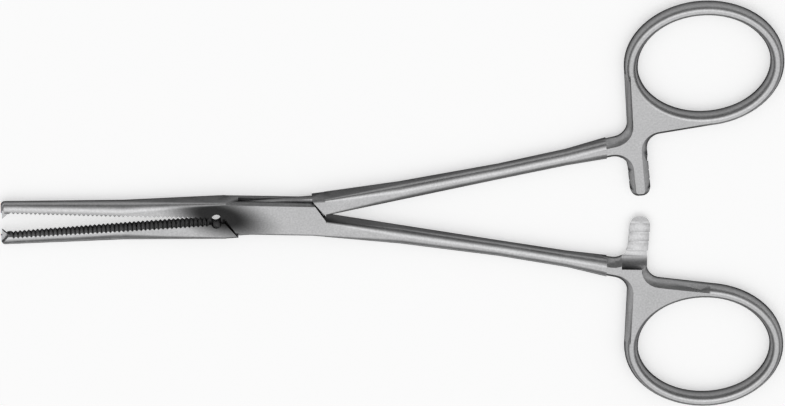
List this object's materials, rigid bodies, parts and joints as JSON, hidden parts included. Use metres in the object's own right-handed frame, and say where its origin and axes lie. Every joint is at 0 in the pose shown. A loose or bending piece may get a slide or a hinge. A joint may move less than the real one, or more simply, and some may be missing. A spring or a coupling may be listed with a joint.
{
  "type": "artery forceps",
  "caption": "Straight ringed artery forceps with a box lock, cross-serrated jaws with interlocking tip teeth, slender shanks and a finger ratchet.",
  "frame": {"origin": "on the lock pin's axis, at the flat underside of the box lock, which rests on the table", "axes": "+X along the middle line between the two shanks, towards the finger rings, so the jaws point to -X; +Z along the lock pin's axis, up from the table; +Y across, from the box half's finger ring to the tongue half's finger ring"},
  "size_m": [0.1604, 0.091, 0.0046],
  "materials": {
    "steel": "satin"
  },
  "bodies": {
    "box_half": {"box_half": "steel", "lock_pin": "steel"},
    "tongue_half": {"tongue_half": "steel"}
  },
  "joints": [
    {"name": "lock_pivot", "type": "hinge", "parent": "box_half", "child": "tongue_half", "pos_m": [0, 0, 0], "axis": [0, 0, 1], "range_deg": [-5.4, 64.6]}
  ]
}
